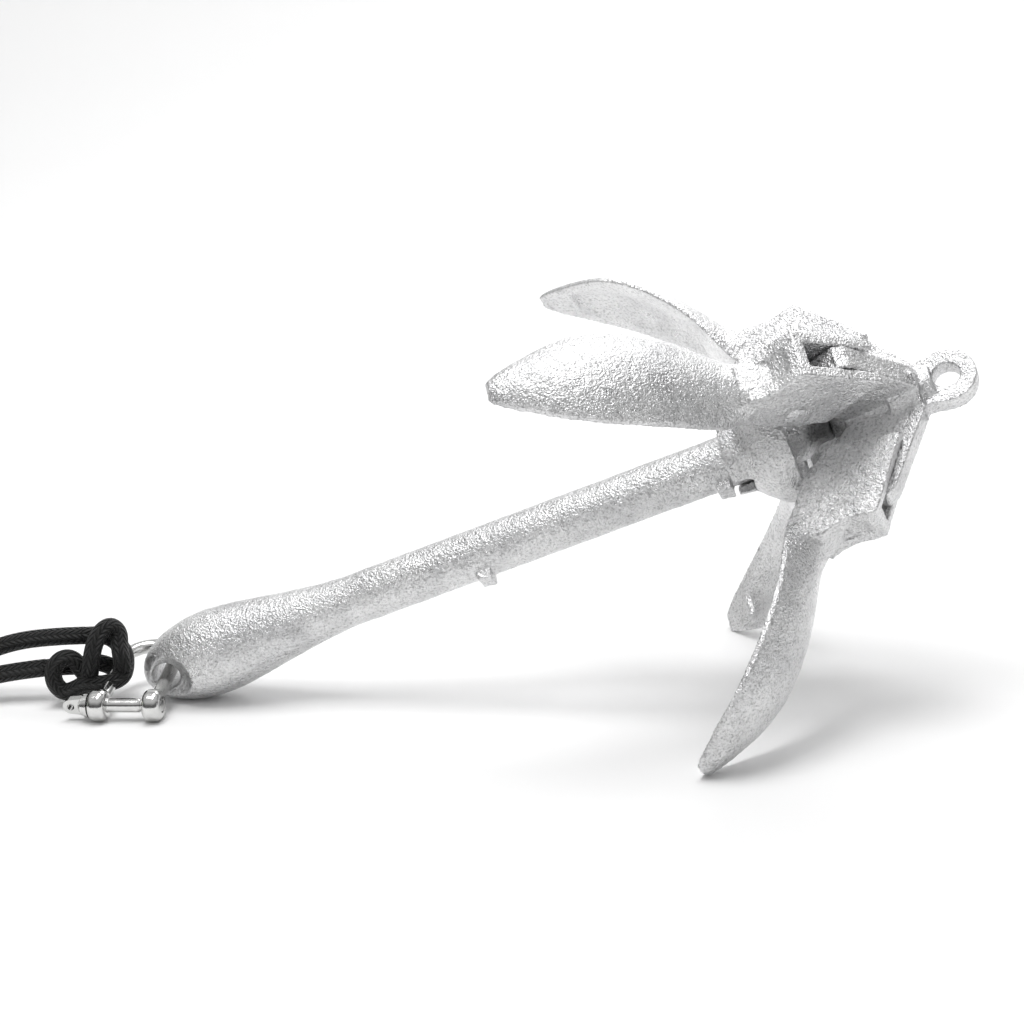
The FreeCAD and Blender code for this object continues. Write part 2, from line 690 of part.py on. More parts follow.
# ---------------------------------------------------------------- carabiner
# Its own axes: the gate runs along X, the middle of the wide end is the origin.
WIDE = size("carabiner_width") / 2.0 - size("carabiner_wire")
NARROW = 9.4
GATE_LINE = WIDE
SPAN = size("carabiner_length") - WIDE - NARROW - 2.0 * size("carabiner_wire")
LEAN = math.asin((WIDE - NARROW) / SPAN)
NARROW_CENTRE = Vector(-SPAN * math.cos(LEAN), SPAN * math.sin(LEAN), 0)
HINGE = Vector(NARROW_CENTRE.x + 0.8, GATE_LINE, 0)
GATE_START = HINGE.x + 4.6
NOSE = -3.0


def on_circle(centre, radius, degrees):
    angle = math.radians(degrees)
    return centre + Vector(radius * math.cos(angle), radius * math.sin(angle), 0)


def make_carabiner_body():
    """Bent bar from the nose, round the wide end, along the back and round the narrow end."""
    wide = Vector(0, 0, 0)
    turn = -90.0 - 2.0 * math.degrees(LEAN)
    end = Vector(HINGE.x + 2.6, GATE_LINE, 0)
    edges = [
        Part.LineSegment(Vector(NOSE, GATE_LINE, 0), on_circle(wide, WIDE, 90)).toShape(),
        Part.Arc(on_circle(wide, WIDE, 90), on_circle(wide, WIDE, 0), on_circle(wide, WIDE, turn)).toShape(),
        Part.LineSegment(on_circle(wide, WIDE, turn), on_circle(NARROW_CENTRE, NARROW, turn)).toShape(),
        Part.Arc(on_circle(NARROW_CENTRE, NARROW, turn), on_circle(NARROW_CENTRE, NARROW, -180),
                 on_circle(NARROW_CENTRE, NARROW, -270)).toShape(),
        Part.LineSegment(on_circle(NARROW_CENTRE, NARROW, -270), end).toShape()]
    way = Part.Wire(edges)
    bar = Part.Wire([Part.Circle(Vector(NOSE, GATE_LINE, 0), X_AXIS, size("carabiner_wire")).toShape()])
    shape = way.makePipeShell([bar], True, False)
    slot = Part.makeBox(9.0, 12.0, 2.0, HINGE + Vector(-3.4, -6.0, -1.0))
    hole = Part.makeCylinder(0.8, 12.0, HINGE - Z_AXIS * 6.0)
    return shape.cut(slot).cut(hole)


def make_gate():
    """Straight bar with a flat tongue at its hinge end, chamfered at its tip."""
    wire = size("carabiner_wire")
    length = NOSE - 0.5 - GATE_START
    bar = Part.makeCylinder(wire - 0.25, length, Vector(GATE_START, GATE_LINE, 0), X_AXIS)
    tongue = Part.makeBox(GATE_START - HINGE.x + 2.0, 3.2, 1.7, HINGE + Vector(0, -1.6, -0.85))
    round_end = Part.makeCylinder(1.6, 1.7, HINGE - Z_AXIS * 0.85)
    hole = Part.makeCylinder(0.8 + size("pin_play"), 8.0, HINGE - Z_AXIS * 4.0)
    return bar.fuse(tongue).fuse(round_end).cut(hole).removeSplitter()


def make_sleeve():
    """Lock sleeve on the gate, drawn back from the nose."""
    start = GATE_START + 3.2
    outer = Part.makeCylinder(size("sleeve_radius"), size("sleeve_length"), Vector(start, GATE_LINE, 0), X_AXIS)
    rims = [edge for edge in outer.Edges if edge.Closed]
    outer = outer.makeFillet(0.8, rims)
    inner = Part.makeCylinder(size("carabiner_wire") + 0.1, 40.0, Vector(start - 5.0, GATE_LINE, 0), X_AXIS)
    return outer.cut(inner)


# The loop of rope holds the narrow end up; the wide end rests on the floor.
NARROW_END = Vector(NARROW_CENTRE.x - NARROW, NARROW_CENTRE.y, 0)
DROOP = math.degrees(math.asin((LOOP_CENTRE.z - size("sleeve_radius")) / (SPAN + NARROW + WIDE * 0.5)))
carabiner_turn = Rotation(Z_AXIS, 180.0) * Rotation(Y_AXIS, DROOP)
carabiner_place = Placement(LOOP_CENTRE - carabiner_turn.multVec(NARROW_END), carabiner_turn)
keep_shape(make_carabiner_body(), "carabiner_body", carabiner_place)
keep_shape(make_gate(), "carabiner_gate", carabiner_place)
keep_shape(make_sleeve(), "carabiner_sleeve", carabiner_place)
keep_shape(Part.makeCylinder(0.8, 5.0, HINGE - Z_AXIS * 2.5), "carabiner_gate_pin", carabiner_place)

# ---------------------------------------------------------------- checks and files
doc.recompute()
for item in doc.Objects:
    if "Invalid" in item.State or "Error" in item.State:
        raise RuntimeError("%s did not build: %s" % (item.Name, item.State))
for item, label, place in parts:
    item.Placement = place
doc.recompute()
for item, label, place in parts:
    if item.Shape.isNull() or not item.Shape.isValid():
        raise RuntimeError("%s has no valid shape" % label)
for item, label, place in parts:
    item.Shape.exportStep("parts/%s.step" % label)
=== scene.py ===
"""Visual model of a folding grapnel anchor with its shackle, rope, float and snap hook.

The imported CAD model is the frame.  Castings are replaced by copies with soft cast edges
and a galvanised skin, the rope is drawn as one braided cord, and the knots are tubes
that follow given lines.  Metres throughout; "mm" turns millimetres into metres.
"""
import bpy
import json
import math
from mathutils import Matrix, Vector, noise

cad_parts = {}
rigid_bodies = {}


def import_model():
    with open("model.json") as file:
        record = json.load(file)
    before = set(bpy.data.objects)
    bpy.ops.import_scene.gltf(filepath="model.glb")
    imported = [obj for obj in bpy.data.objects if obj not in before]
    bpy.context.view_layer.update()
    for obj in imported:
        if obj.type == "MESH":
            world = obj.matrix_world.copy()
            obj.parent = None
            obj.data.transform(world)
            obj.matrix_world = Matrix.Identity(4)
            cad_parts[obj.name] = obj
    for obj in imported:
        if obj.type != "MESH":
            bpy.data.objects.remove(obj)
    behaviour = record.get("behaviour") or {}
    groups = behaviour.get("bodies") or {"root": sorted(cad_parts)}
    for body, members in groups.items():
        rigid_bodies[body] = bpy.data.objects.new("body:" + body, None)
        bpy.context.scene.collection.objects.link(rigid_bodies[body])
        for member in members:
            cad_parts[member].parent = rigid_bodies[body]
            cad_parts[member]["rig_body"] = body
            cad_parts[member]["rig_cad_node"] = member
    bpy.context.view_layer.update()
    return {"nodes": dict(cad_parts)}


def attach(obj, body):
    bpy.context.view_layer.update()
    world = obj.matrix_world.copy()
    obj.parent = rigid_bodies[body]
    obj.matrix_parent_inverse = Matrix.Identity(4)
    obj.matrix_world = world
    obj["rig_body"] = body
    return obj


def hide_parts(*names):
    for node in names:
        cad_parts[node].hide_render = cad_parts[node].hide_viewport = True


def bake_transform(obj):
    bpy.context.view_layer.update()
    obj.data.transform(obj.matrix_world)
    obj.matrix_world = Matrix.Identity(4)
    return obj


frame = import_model()
scene = bpy.context.scene


def mm(*values):
    """Millimetres as metres: a number, or a Vector from three numbers."""
    if len(values) == 1:
        return values[0] / 1000.0
    return Vector(values) / 1000.0


# ---------------------------------------------------------------- camera, floor and light
CAMERA_PLACE = mm(87.8, -657.2, 239.1)
CAMERA_RIGHT = Vector((0.9917, 0.1212, -0.0418))
CAMERA_AHEAD = Vector((-0.1278, 0.9595, -0.2510))
CAMERA_LENS = 69.8


def make_camera():
    """The camera that sees the object as the photograph does."""
    data = bpy.data.cameras.new("camera")
    data.lens = CAMERA_LENS
    data.sensor_width = 36.0
    camera = bpy.data.objects.new("camera", data)
    right = CAMERA_RIGHT.normalized()
    back = -CAMERA_AHEAD.normalized()
    up = back.cross(right).normalized()
    turned = Matrix((right, up, back)).transposed()
    camera.matrix_world = Matrix.Translation(CAMERA_PLACE) @ turned.to_4x4()
    scene.collection.objects.link(camera)
    scene.camera = camera


def make_floor():
    """A pale floor that curves up into a pale wall well behind the object."""
    half, back, bend, height, steps = 5.0, 2.2, 1.2, 4.0, 12
    profile = [(-half, 0.0), (back - bend, 0.0)]
    for step in range(1, steps + 1):
        angle = math.pi / 2.0 * step / steps
        profile.append((back - bend + bend * math.sin(angle), bend - bend * math.cos(angle)))
    profile.append((back, height))
    vertices = [(x, y, z) for y, z in profile for x in (-half, half)]
    faces = [(2 * n, 2 * n + 1, 2 * n + 3, 2 * n + 2) for n in range(len(profile) - 1)]
    mesh = bpy.data.meshes.new("floor")
    mesh.from_pydata(vertices, [], faces)
    shade_smooth(mesh)
    floor = bpy.data.objects.new("floor", mesh)
    scene.collection.objects.link(floor)
    material, shader, _ = new_material("pale_floor", (0.95, 0.95, 0.95), 1.0)
    shader.inputs["Specular IOR Level"].default_value = 0.0
    mesh.materials.append(material)


def area_light(name, place, target, width, power):
    """A round soft light at a place, turned to a target; power in watts."""
    data = bpy.data.lights.new(name, "AREA")
    data.shape = "DISK"
    data.size = width
    data.energy = power
    light = bpy.data.objects.new(name, data)
    light.location = place
    light.rotation_mode = "QUATERNION"
    light.rotation_quaternion = (Vector(target) - Vector(place)).to_track_quat("-Z", "Y")
    scene.collection.objects.link(light)


def make_light():
    """A bright overcast dome with a darker band near the horizon, and three soft lights."""
    scene.view_settings.view_transform = "Standard"
    world = bpy.data.worlds.new("studio")
    world.use_nodes = True
    tree = world.node_tree
    place = tree.nodes.new("ShaderNodeTexCoord")
    parts = tree.nodes.new("ShaderNodeSeparateXYZ")
    tree.links.new(place.outputs["Generated"], parts.inputs["Vector"])
    sky = ramp(tree, parts.outputs["Z"], [(0.0, 0.16), (0.28, 0.20), (0.62, 1.0), (1.0, 1.0)])
    background = tree.nodes["Background"]
    tree.links.new(sky, background.inputs["Color"])
    background.inputs["Strength"].default_value = 0.62
    scene.world = world
    area_light("key", (-0.25, -0.30, 1.25), (0, 0, 0.05), 0.55, 5.0)
    area_light("back", (0.3, 1.1, 1.1), (0, 0.1, 0.05), 0.9, 4.0)
    area_light("wall", (0, 0.4, 2.4), (0, 2.2, 0.9), 1.5, 30.0)


# ---------------------------------------------------------------- materials
def new_material(name, colour, roughness, metallic=0.0):
    """A material whose shader has plain values, its shader node and its tree."""
    material = bpy.data.materials.new(name)
    material.use_nodes = True
    shader = material.node_tree.nodes["Principled BSDF"]
    shader.inputs["Base Color"].default_value = (*colour, 1)
    shader.inputs["Roughness"].default_value = roughness
    shader.inputs["Metallic"].default_value = metallic
    return material, shader, material.node_tree


def add_noise(tree, scale, detail=3.0, roughness=0.5, stretch=(1, 1, 1)):
    """A noise field over the object's own coordinates; its scale counts per metre."""
    place = tree.nodes.new("ShaderNodeTexCoord")
    mapping = tree.nodes.new("ShaderNodeMapping")
    mapping.inputs["Scale"].default_value = stretch
    tree.links.new(place.outputs["Object"], mapping.inputs["Vector"])
    field = tree.nodes.new("ShaderNodeTexNoise")
    field.inputs["Scale"].default_value = scale
    field.inputs["Detail"].default_value = detail
    field.inputs["Roughness"].default_value = roughness
    tree.links.new(mapping.outputs["Vector"], field.inputs["Vector"])
    return field.outputs["Fac"]


def ramp(tree, factor, stops):
    """A colour ramp through (position, grey or colour) stops."""
    node = tree.nodes.new("ShaderNodeValToRGB")
    elements = node.color_ramp.elements
    while len(elements) < len(stops):
        elements.new(0.5)
    for element, (position, value) in zip(elements, stops):
        element.position = position
        colour = value if isinstance(value, tuple) else (value,) * 3
        element.color = (*colour, 1)
    tree.links.new(factor, node.inputs["Fac"])
    return node.outputs["Color"]


def mixed(tree, kind, factor, first, second):
    """Two colours mixed in a blend mode; factor is a number or a socket."""
    node = tree.nodes.new("ShaderNodeMix")
    node.data_type = "RGBA"
    node.blend_type = kind
    for value, socket in ((factor, node.inputs[0]), (first, node.inputs[6]), (second, node.inputs[7])):
        if isinstance(value, (int, float)):
            socket.default_value = value
        elif isinstance(value, tuple):
            socket.default_value = (*value, 1)
        else:
            tree.links.new(value, socket)
    return node.outputs[2]


def calculate(tree, operation, first, second=0.0):
    """One step of arithmetic; each value is a number or a socket."""
    node = tree.nodes.new("ShaderNodeMath")
    node.operation = operation
    for value, socket in ((first, node.inputs[0]), (second, node.inputs[1])):
        if isinstance(value, (int, float)):
            socket.default_value = value
        else:
            tree.links.new(value, socket)
    return node.outputs[0]


def add_bump(tree, shader, height, distance):
    """Raise the surface by up to a distance, on top of any bump it has already."""
    node = tree.nodes.new("ShaderNodeBump")
    node.inputs["Distance"].default_value = distance
    node.inputs["Strength"].default_value = 1.0
    tree.links.new(height, node.inputs["Height"])
    before = shader.inputs["Normal"]
    if before.is_linked:
        tree.links.new(before.links[0].from_socket, node.inputs["Normal"])
    tree.links.new(node.outputs["Normal"], before)


def distance_from(tree, place, reach):
    """How far a point of the object is from a place, as a share of the reach."""
    coordinates = tree.nodes.new("ShaderNodeTexCoord")
    apart = tree.nodes.new("ShaderNodeVectorMath")
    apart.operation = "DISTANCE"
    tree.links.new(coordinates.outputs["Object"], apart.inputs[0])
    apart.inputs[1].default_value = place
    return calculate(tree, "DIVIDE", apart.outputs["Value"], reach)


def galvanised(name, grain=1.0, shaded_place=None):
    """Hot-dip zinc over a sand casting: bright, grainy, mottled; when a place is given, painted shade darkens
    the zinc around it.
    """
    material, shader, tree = new_material(name, (0.7, 0.7, 0.7), 0.5, 1.0)
    mottle = ramp(tree, add_noise(tree, 45.0, 5.0, 0.6),
                  [(0.30, (0.70, 0.70, 0.71)), (0.52, (0.86, 0.86, 0.865)), (0.75, (0.96, 0.96, 0.96))])
    fleck = ramp(tree, add_noise(tree, 1100.0, 4.0, 0.7), [(0.32, 0.50), (0.50, 0.96), (0.70, 1.0)])
    dull = ramp(tree, add_noise(tree, 150.0, 6.0, 0.75), [(0.28, 0.45), (0.37, 0.92), (0.60, 1.0)])
    colour = mixed(tree, "MULTIPLY", 1.0, mixed(tree, "MULTIPLY", 1.0, mottle, fleck), dull)
    if shaded_place:
        # Painted shade: the colour darkens towards the given place, nearly to black at its centre.
        neck_shade = ramp(tree, distance_from(tree, shaded_place, NECK_SHADE_REACH), [(0.0, 0.16), (0.6, 0.24), (1.0, 1.0)])
        colour = mixed(tree, "MULTIPLY", 1.0, colour, neck_shade)
    tree.links.new(colour, shader.inputs["Base Color"])
    patch = ramp(tree, add_noise(tree, 110.0, 4.0, 0.6), [(0.30, 0.24), (0.70, 0.42)])
    tree.links.new(patch, shader.inputs["Roughness"])
    add_bump(tree, shader, add_noise(tree, 1350.0, 2.0, 0.55), mm(0.62) * grain)
    add_bump(tree, shader, add_noise(tree, 400.0, 3.0, 0.6), mm(0.42) * grain)
    return material


def polished(name, tint, roughness):
    """Polished stainless steel with faint wiping marks."""
    material, shader, tree = new_material(name, tint, roughness, 1.0)
    marks = add_noise(tree, 260.0, 4.0, 0.6, (1, 6, 1))
    shade = ramp(tree, marks, [(0.3, tuple(0.86 * part for part in tint)), (0.7, tint)])
    tree.links.new(shade, shader.inputs["Base Color"])
    tree.links.new(ramp(tree, marks, [(0.3, roughness), (0.7, roughness + 0.10)]), shader.inputs["Roughness"])
    add_bump(tree, shader, marks, mm(0.01))
    return material


def braided(name):
    """Black polyester braid: yarns in chevrons round the rope, from its own length and turn; the colour
    paints highlight on the yarn crests and shade in the gaps between them.
    """
    material, shader, tree = new_material(name, (0.012, 0.012, 0.013), 0.55)
    shader.inputs["Sheen Weight"].default_value = 0.05
    shader.inputs["Specular IOR Level"].default_value = 0.35
    place = tree.nodes.new("ShaderNodeTexCoord")
    parts = tree.nodes.new("ShaderNodeSeparateXYZ")
    tree.links.new(place.outputs["UV"], parts.inputs["Vector"])
    across = calculate(tree, "MULTIPLY", parts.outputs["X"], 2.0 * CHEVRONS)
    zigzag = calculate(tree, "PINGPONG", across, 1.0)
    along = calculate(tree, "ADD", parts.outputs["Y"], calculate(tree, "MULTIPLY", zigzag, YARN_LEAN))
    yarn = calculate(tree, "SINE", calculate(tree, "MULTIPLY", along, math.pi))
    column = calculate(tree, "SINE", calculate(tree, "MULTIPLY", zigzag, math.pi))
    height = calculate(tree, "MULTIPLY", calculate(tree, "ABSOLUTE", yarn),
                       calculate(tree, "ADD", calculate(tree, "MULTIPLY", column, 0.5), 0.5))
    # Painted highlight and painted shade: yarn crests lighter, gaps between the yarns darker.
    shade = ramp(tree, height, [(0.15, 0.003), (0.55, 0.010), (0.95, 0.026)])
    fuzz = ramp(tree, add_noise(tree, 1500.0, 3.0, 0.6), [(0.3, 0.6), (0.7, 1.0)])
    tree.links.new(mixed(tree, "MULTIPLY", 1.0, shade, fuzz), shader.inputs["Base Color"])
    add_bump(tree, shader, height, mm(0.9))
    add_bump(tree, shader, add_noise(tree, 2600.0, 2.0, 0.5), mm(0.10))
    return material


def moulded(name):
    """Cream polyethylene with faint mould texture and a little grime."""
    material, shader, tree = new_material(name, (0.86, 0.82, 0.70), 0.5)
    shader.inputs["Subsurface Weight"].default_value = 0.12
    shader.inputs["Subsurface Scale"].default_value = mm(6.0)
    tone = ramp(tree, add_noise(tree, 22.0, 4.0, 0.6),
                [(0.3, (0.80, 0.745, 0.60)), (0.7, (0.90, 0.86, 0.74))])
    specks = ramp(tree, add_noise(tree, 420.0, 2.0, 0.5), [(0.24, 0.86), (0.34, 1.0)])
    tree.links.new(mixed(tree, "MULTIPLY", 1.0, tone, specks), shader.inputs["Base Color"])
    tree.links.new(ramp(tree, add_noise(tree, 70.0), [(0.3, 0.40), (0.7, 0.56)]), shader.inputs["Roughness"])
    add_bump(tree, shader, add_noise(tree, 700.0, 3.0), mm(0.05))
    return material


def knurled(name):
    """Steel with fine slanting ribs."""
    material, shader, tree = new_material(name, (0.66, 0.66, 0.67), 0.28, 1.0)
    place = tree.nodes.new("ShaderNodeTexCoord")
    ribs = tree.nodes.new("ShaderNodeTexWave")
    ribs.wave_type = "BANDS"
    ribs.bands_direction = "DIAGONAL"
    ribs.inputs["Scale"].default_value = 260.0
    tree.links.new(place.outputs["Object"], ribs.inputs["Vector"])
    add_bump(tree, shader, ribs.outputs["Fac"], mm(0.25))
    tree.links.new(ramp(tree, add_noise(tree, 500.0), [(0.3, 0.5), (0.7, 0.72)]), shader.inputs["Base Color"])
    return material


# Middle of the bare neck between the collar and the crown, at rest; the painted neck shade is darkest here.
NECK = mm(106.7, -1.8, 96.5)
# How far the painted neck shade reaches from that middle.
NECK_SHADE_REACH = mm(10.5)
CHEVRONS = 5
YARN_LEAN = 1.2
YARN_PITCH = mm(2.4)

CAST = galvanised("galvanised_casting")
# This material paints shade around the neck between the collar and the crown.
NECK_SHADED_CAST = galvanised("galvanised_casting_neck_shade", shaded_place=NECK)
ROUGH_CAST = galvanised("galvanised_collar", grain=1.25)
STEEL = polished("polished_shackle_steel", (0.72, 0.72, 0.71), 0.10)
HOOK_STEEL = polished("polished_hook_steel", (0.70, 0.70, 0.71), 0.12)
KNURL = knurled("knurled_steel")
BRAID = braided("black_braid")
CREAM = moulded("cream_polyethylene")


# ---------------------------------------------------------------- castings
CAST_VOXEL = mm(0.55)
SOFT_PASSES = 2
# The skin: how far its lumps reach, how many broad and fine lumps a metre, and their shares.
SKIN_LUMP = mm(0.14)
BROAD_LUMPS, BROAD_SHARE = 160.0, 0.9
FINE_LUMPS, FINE_SHARE = 520.0, 0.7
SKIN_SUNK = 0.35


def shade_smooth(mesh):
    mesh.polygons.foreach_set("use_smooth", [True] * len(mesh.polygons))


def keep_above(mesh, height):
    """Lift every point that is below a height up to it."""
    for vertex in mesh.vertices:
        vertex.co.z = max(vertex.co.z, height)


def joint_body(node):
    """The body that a CAD node belongs to."""
    return frame["nodes"][node]["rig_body"]


def soft_casting(node, material):
    """A copy of a CAD casting with rounded edges and a slightly lumpy skin."""
    piece = frame["nodes"][node].copy()
    piece.data = piece.data.copy()
    piece.name = node + "_casting"
    piece.parent = None
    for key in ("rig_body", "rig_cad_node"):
        if key in piece:
            del piece[key]
    scene.collection.objects.link(piece)
    piece.data.materials.clear()
    weld = piece.modifiers.new("weld", "WELD")
    weld.merge_threshold = mm(0.002)
    remesh = piece.modifiers.new("remesh", "REMESH")
    remesh.mode = "VOXEL"
    remesh.voxel_size = CAST_VOXEL
    smooth = piece.modifiers.new("smooth", "SMOOTH")
    smooth.factor = 0.5
    smooth.iterations = SOFT_PASSES
    mesh = bpy.data.meshes.new_from_object(piece.evaluated_get(bpy.context.evaluated_depsgraph_get()))
    piece.modifiers.clear()
    piece.data = mesh
    mesh.materials.clear()
    mesh.materials.append(material)
    normals = [vertex.normal.copy() for vertex in mesh.vertices]
    for vertex, normal in zip(mesh.vertices, normals):
        place = vertex.co
        lump = noise.noise(place * BROAD_LUMPS) * BROAD_SHARE + noise.noise(place * FINE_LUMPS) * FINE_SHARE
        vertex.co = place + normal * (SKIN_LUMP * (lump - SKIN_SUNK))
    keep_above(mesh, 0.0)
    shade_smooth(mesh)
    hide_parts(node)
    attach(piece, joint_body(node))


def paint(node, material):
    """Give a CAD node its material."""
    piece = frame["nodes"][node]
    if not piece.material_slots:
        piece.data.materials.append(material)
    for slot in piece.material_slots:
        slot.material = material
    shade_smooth(piece.data)


FLUKE_NAMES = ("front_upper", "rear_upper", "rear_lower", "front_lower")


def make_castings():
    """Soft copies of the cast pieces, and the rivets in the same zinc."""
    # Crown and shank carry the painted shade at the neck.
    for node in ("crown", "shank"):
        soft_casting(node, NECK_SHADED_CAST)
    soft_casting("collar", ROUGH_CAST)
    for name in FLUKE_NAMES:
        soft_casting("fluke_" + name, CAST)
        paint("fluke_pin_" + name, CAST)


# ---------------------------------------------------------------- rope
ROPE = mm(3.2)
# Where the knot sits on the shackle's left leg; every rope point is counted from there.
KNOT = mm(-144.7594, -6.6295, 10.0646)


def from_knot(points):
    """Points beside the knot, in millimetres, with the height above the floor."""
    return [Vector((KNOT.x + mm(x), KNOT.y + mm(y), mm(z))) for x, y, z in points]


LEAD_ROUTE = from_knot([
    (-11.3, 4.0, 23.6), (-29.0, 4.9, 22.8), (-46.0, 6.5, 18.6), (-61.0, 5.5, 11.8), (-75.0, 0.5, 5.8),
    (-87.0, -8.0, 3.4), (-98.5, -15.5, 3.3), (-111.1, -19.1, 3.3)])
TAIL_ROUTE = from_knot([
    (-25.9, 1.0, 12.4), (-43.0, -0.6, 11.0), (-60.5, -5.6, 6.6), (-77.5, -15.0, 3.4), (-93.0, -28.0, 3.3),
    (-107.5, -42.0, 3.3), (-125.0, -51.5, 3.3), (-144.0, -56.0, 3.3)])
END_ROUTE = from_knot([
    (-149.1, -19.1, 35.3), (-165.0, -19.5, 38.4), (-184.0, -19.2, 40.6), (-214.0, -18.8, 41.2),
    (-250.0, -19.4, 41.2), (-286.0, -19.1, 41.0), (-312.0, -19.5, 37.4), (-329.0, -19.0, 28.6),
    (-343.0, -19.5, 18.8), (-356.5, -19.0, 12.4), (-371.1, -19.3, 10.3)])
COIL_CENTRE = from_knot([(-130.1, 32.1, 0.1)])[0]
COIL_MIDDLE = mm(38.4)
COIL_ROWS = 5
COIL_LAYERS = 6
TURN_POINTS = 20
# The share of a turn after which the rope steps over to the next row.
JOG_START = 0.62
WANDER = mm(0.35)


def coil_route():
    """The coil's turns: each layer winds in or out by one row a turn, then climbs to the next."""
    row = 2.0 * ROPE
    outer = COIL_MIDDLE + (COIL_ROWS - 1) / 2.0 * row
    points = []
    for layer in range(COIL_LAYERS):
        inward = layer % 2 == 0
        for turn in range(COIL_ROWS):
            for step in range(TURN_POINTS):
                share = step / TURN_POINTS
                jog = max(0.0, (share - JOG_START) / (1.0 - JOG_START))
                jog = jog * jog * (3.0 - 2.0 * jog)
                last = turn == COIL_ROWS - 1
                rows_in = turn + (0.0 if last else jog)
                if not inward:
                    rows_in = COIL_ROWS - 1 - rows_in
                up = layer + (jog if last and layer < COIL_LAYERS - 1 else 0.0)
                radius = outer - rows_in * row
                angle = 2.0 * math.pi * share
                wander = noise.noise(Vector((angle, turn, layer * 3.1)) * 1.7) * WANDER
                points.append(COIL_CENTRE + Vector((-math.sin(angle) * (radius + wander),
                                                    -math.cos(angle) * (radius + wander),
                                                    ROPE + up * row)))
    return points


def smooth_line(route):
    """Points along the NURBS spline whose control points are the route."""
    curve = bpy.data.curves.new("route", "CURVE")
    curve.dimensions = "3D"
    spline = curve.splines.new("NURBS")
    spline.points.add(len(route) - 1)
    for point, place in zip(spline.points, route):
        point.co = (*place, 1)
    spline.order_u = 3
    spline.use_endpoint_u = True
    spline.resolution_u = 12
    carrier = bpy.data.objects.new("route", curve)
    scene.collection.objects.link(carrier)
    bpy.context.view_layer.update()
    line = bpy.data.meshes.new_from_object(carrier.evaluated_get(bpy.context.evaluated_depsgraph_get()))
    points = [vertex.co.copy() for vertex in line.vertices]
    bpy.data.objects.remove(carrier)
    bpy.data.curves.remove(curve)
    bpy.data.meshes.remove(line)
    return points


def even_points(points, spacing):
    """The same line with points an even distance apart; spacing is a function of the length so far."""
    out = [points[0].copy()]
    travelled = 0.0
    due = spacing(0.0)
    for start, end in zip(points, points[1:]):
        step = (end - start).length
        while step > 0 and travelled + step >= due:
            out.append(start.lerp(end, (due - travelled) / step))
            due += spacing(due)
        travelled += step
    if (out[-1] - points[-1]).length > 1e-6:
        out.append(points[-1].copy())
    return out


ROUND_STEPS = 24


def rope_mesh(name, line, radius):
    """A round rope along a line; its UV map holds the share of a turn and the yarns counted so far."""
    count = len(line)
    side = (line[1] - line[0]).orthogonal().normalized()
    vertices = []
    yarns = []
    length = 0.0
    for index, place in enumerate(line):
        way = (line[min(index + 1, count - 1)] - line[max(index - 1, 0)]).normalized()
        if index:
            length += (place - line[index - 1]).length
            side = (side - way * side.dot(way)).normalized()
        up = way.cross(side)
        yarns.append(length / YARN_PITCH)
        for step in range(ROUND_STEPS):
            angle = 2.0 * math.pi * step / ROUND_STEPS
            vertices.append(place + side * (math.cos(angle) * radius) + up * (math.sin(angle) * radius))
    faces = []
    turns = []
    for index in range(count - 1):
        low = index * ROUND_STEPS
        for step in range(ROUND_STEPS):
            after = (step + 1) % ROUND_STEPS
            faces.append((low + step, low + after, low + ROUND_STEPS + after, low + ROUND_STEPS + step))
            here, there = step / ROUND_STEPS, (step + 1) / ROUND_STEPS
            turns += [(here, yarns[index]), (there, yarns[index]),
                      (there, yarns[index + 1]), (here, yarns[index + 1])]
    for cap in (reversed(range(ROUND_STEPS)), range((count - 1) * ROUND_STEPS, count * ROUND_STEPS)):
        faces.append(tuple(cap))
        turns += [(0.0, 0.0)] * ROUND_STEPS
    mesh = bpy.data.meshes.new(name)
    mesh.from_pydata([tuple(vertex) for vertex in vertices], [], faces)
    layer = mesh.uv_layers.new(name="braid")
    for loop, turn in zip(layer.data, turns):
        loop.uv = turn
    shade_smooth(mesh)
    mesh.materials.append(BRAID)
    piece = bpy.data.objects.new(name, mesh)
    scene.collection.objects.link(piece)
    return piece


def line_length(points):
    """The length of a line through the points."""
    return sum((end - start).length for start, end in zip(points, points[1:]))


# Rings stand closer together on the rope's first stretch, which is the one seen close up.
FINE = mm(0.7)
COARSE = mm(2.0)
SEEN_LENGTH = mm(90.0)


def rope_spacing(length):
    """The distance from one ring to the next, at a length along the rope."""
    return FINE if length < SEEN_LENGTH else COARSE


def make_rope():
    """The main rope with its coil and end knot, and the knot's short tail."""
    line = even_points(smooth_line(LEAD_ROUTE + coil_route() + END_ROUTE), rope_spacing)
    rope = rope_mesh("rope_main", line, ROPE)
    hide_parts("rope_lead_start", "rope_lead", "rope_coil", "rope_end_run")
    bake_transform(rope)
    end_knot = make_end_knot()
    line_length(line)
    tail_line = even_points(smooth_line(TAIL_ROUTE), lambda length: FINE)
    tail = rope_mesh("rope_tail_end", tail_line, ROPE)
    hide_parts("rope_tail_start", "rope_tail")
    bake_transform(tail)
    line_length(tail_line)


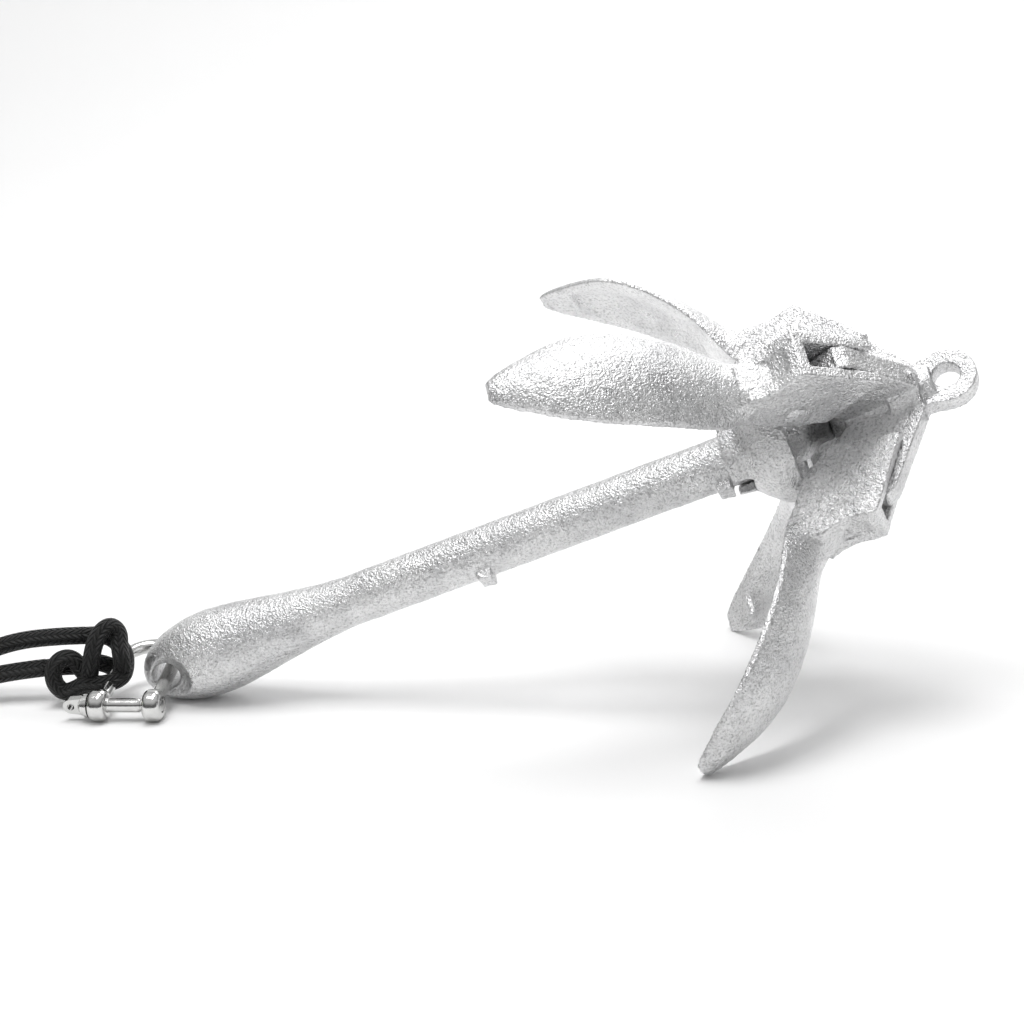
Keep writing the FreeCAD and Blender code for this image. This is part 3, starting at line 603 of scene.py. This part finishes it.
# The knot's line, in millimetres from the shackle's leg: right, up and towards the viewer.
KNOT_LINE = [
    (-17.0, 13.8, -3.0), (-11.3, 14.0, -1.9), (-6.0, 14.2, -3.0), (-1.2, 12.6, -4.8), (3.0, 7.6, -4.0),
    (3.8, 2.0, -0.5), (3.2, -0.6, 3.6), (0.0, -2.2, 5.4), (-4.6, -3.0, 5.6), (-9.6, -2.6, 4.4),
    (-14.2, -5.2, 2.6), (-18.0, -6.2, 2.2), (-21.4, -2.6, 2.6), (-21.6, 2.6, 2.8), (-18.4, 6.4, 3.0),
    (-14.2, 6.0, 2.0), (-11.8, 1.6, 0.6), (-8.6, -1.0, 2.6), (-7.2, 4.0, 7.0), (-6.4, 10.0, 7.4),
    (-4.4, 15.6, 5.6), (-1.0, 18.2, 3.2), (1.8, 15.4, 1.4), (2.2, 10.4, 3.2), (3.4, 6.2, 5.6),
    (3.6, 2.0, 3.0), (0.4, 1.2, -3.6), (-4.0, 3.6, -4.4), (-9.0, 4.4, -4.2), (-14.0, 2.8, -4.0),
    (-20.0, 2.6, -3.6), (-25.7, 2.3, -3.7), (-31.0, 1.7, -4.0)]


def make_knot():
    """The knot on the shackle, one tight line of rope."""
    right = CAMERA_RIGHT.normalized()
    ahead = CAMERA_AHEAD.normalized()
    up = (-ahead).cross(right).normalized()
    route = [KNOT + right * mm(x) + up * mm(y) - ahead * mm(z) for x, y, z in KNOT_LINE]
    line = even_points(smooth_line(route), lambda length: FINE)
    knot = rope_mesh("rope_knot_turns", line, ROPE * 0.97)
    keep_above(knot.data, 0.0)
    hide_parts("rope_knot")
    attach(knot, "shackle")


# The stopper: its start past the rope's end, length, turns, radius, height and points.
STOPPER_START = mm(2.0)
STOPPER_LENGTH = mm(9.0)
STOPPER_TURNS = 2.2
STOPPER_RADIUS = mm(5.2)
STOPPER_HEIGHT = mm(10.4)
STOPPER_STEPS = 25
# The loop through the snap hook: its centre past the rope's end, height, size and points.
LOOP_AWAY = mm(21.0)
LOOP_HEIGHT = mm(10.7)
LOOP_LONG = mm(6.2)
LOOP_TALL = mm(5.9)
LOOP_STEPS = 16


def make_end_knot():
    """The wound stopper and the loop through the snap hook."""
    middle = END_ROUTE[-1]
    loop = Vector((middle.x - LOOP_AWAY, middle.y, LOOP_HEIGHT))
    turns = []
    for index in range(STOPPER_STEPS + 1):
        share = index / STOPPER_STEPS
        angle = 2.0 * math.pi * (share * STOPPER_TURNS)
        turns.append(Vector((middle.x - STOPPER_START - STOPPER_LENGTH * share,
                             middle.y + math.cos(angle) * STOPPER_RADIUS,
                             STOPPER_HEIGHT + math.sin(angle) * STOPPER_RADIUS)))
    ring = []
    for index in range(LOOP_STEPS + 1):
        angle = 2.0 * math.pi * index / LOOP_STEPS
        ring.append(loop + Vector((math.cos(angle) * LOOP_LONG, 0, math.sin(angle) * LOOP_TALL)))
    line = even_points(smooth_line(turns + ring), lambda length: FINE)
    knot = rope_mesh("rope_end_knot_turns", line, ROPE * 0.95)
    keep_above(knot.data, mm(0.2))
    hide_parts("rope_end_knot")
    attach(knot, "anchor")
    return knot


# ---------------------------------------------------------------- assembly
def main():
    """Set up the view, then dress every CAD node."""
    make_camera()
    make_floor()
    make_light()
    make_castings()
    for node in ("shackle_bow", "shackle_pin"):
        paint(node, STEEL)
    for node in ("carabiner_body", "carabiner_gate", "carabiner_gate_pin"):
        paint(node, HOOK_STEEL)
    paint("carabiner_sleeve", KNURL)
    paint("float", CREAM)
    make_rope()
    make_knot()


main()
